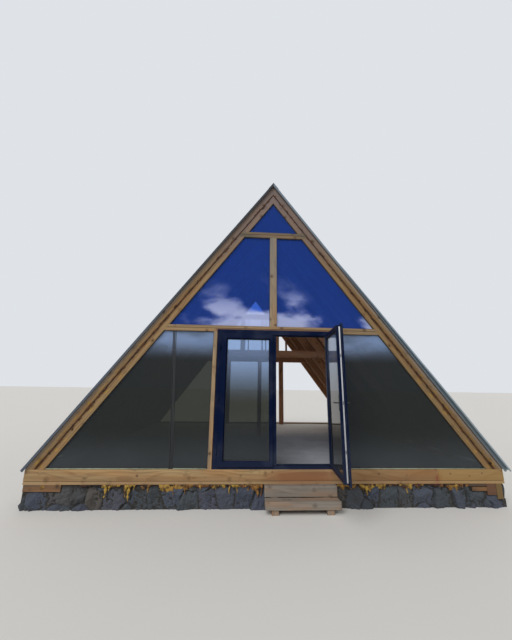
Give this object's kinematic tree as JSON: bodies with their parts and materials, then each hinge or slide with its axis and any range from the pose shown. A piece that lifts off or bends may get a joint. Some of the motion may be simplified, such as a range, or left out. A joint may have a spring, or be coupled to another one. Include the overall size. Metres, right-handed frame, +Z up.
{
  "type": "a-frame cabin",
  "caption": "Steep timber cabin shaped like a tent, with a glazed gable round a double door, a rubble footing, a sheet metal roof and an open rear end.",
  "frame": {"origin": "centre of the whole part's plan box, with the right leaf drawn open, at the underside of the footing", "axes": "+Z up, -Y out of the glazed gable, +X to the right seen from in front of the door"},
  "size_m": [7.2542, 7.3108, 5.4861],
  "materials": {
    "rubble_footing": "rough rubble stone in mortar",
    "floor_screed": "dusty smooth screed",
    "gable_timber": "planed and weathered softwood",
    "frame_timber": "sawn softwood",
    "roof_board": "sawn boards",
    "step_timber": "sawn softwood",
    "pane_glass": "clear double glazing",
    "cured_foam": "cut and sun-browned gun foam",
    "joint_gasket": "dull black",
    "dark_door": "satin dark blue-grey",
    "lock_steel": "brushed",
    "dark_metal": "satin black",
    "roof_sheet": "grey-blue coated sheet"
  },
  "bodies": {
    "building": {"front_footing": "rubble_footing", "rear_footing": "rubble_footing", "side_footings": "rubble_footing", "floor_slab": "floor_screed", "front_sill": "gable_timber", "rear_sill": "frame_timber", "side_sills": "frame_timber", "corner_blocks": "gable_timber", "front_rafter_left": "gable_timber", "front_rafter_right": "gable_timber", "glazing_frame_left": "gable_timber", "glazing_frame_right": "gable_timber", "top_bar": "gable_timber", "centre_mullion": "gable_timber", "transom": "gable_timber", "door_mullions": "gable_timber", "top_pane": "pane_glass", "upper_left_pane": "pane_glass", "upper_right_pane": "pane_glass", "lower_left_outer_pane": "pane_glass", "lower_left_inner_pane": "pane_glass", "pane_joint": "joint_gasket", "lower_right_pane": "pane_glass", "left_foam_seal": "cured_foam", "right_foam_seal": "cured_foam", "door_frame": "dark_door", "left_rafters": "frame_timber", "right_rafters": "frame_timber", "middle_tie_beam": "frame_timber", "middle_posts": "frame_timber", "rear_rafters": "frame_timber", "rear_collar_beam": "frame_timber", "rear_tie_beam": "frame_timber", "rear_posts": "frame_timber", "rear_studs": "frame_timber", "left_roof_boards": "roof_board", "right_roof_boards": "roof_board", "left_roof_sheet": "roof_sheet", "right_roof_sheet": "roof_sheet", "left_verge_trim": "roof_sheet", "right_verge_trim": "roof_sheet", "ridge_cap": "roof_sheet", "upper_step": "step_timber", "lower_step": "step_timber", "step_bearers": "step_timber"},
    "left_leaf": {"left_door_leaf": "dark_door", "left_door_glass": "pane_glass"},
    "right_leaf": {"right_door_leaf": "dark_door", "right_door_glass": "pane_glass", "lock_strip": "lock_steel", "door_handles": "dark_metal"}
  },
  "joints": [
    {"name": "left_leaf_hinge", "type": "hinge", "parent": "building", "child": "left_leaf", "pos_m": [-0.866, -2.72558, 1.53], "axis": [0, 0, -1], "range_deg": [0, 170]},
    {"name": "right_leaf_hinge", "type": "hinge", "parent": "building", "child": "right_leaf", "pos_m": [0.928, -2.72558, 1.53], "axis": [0, 0, 1], "range_deg": [-84.5, 85.5]}
  ]
}
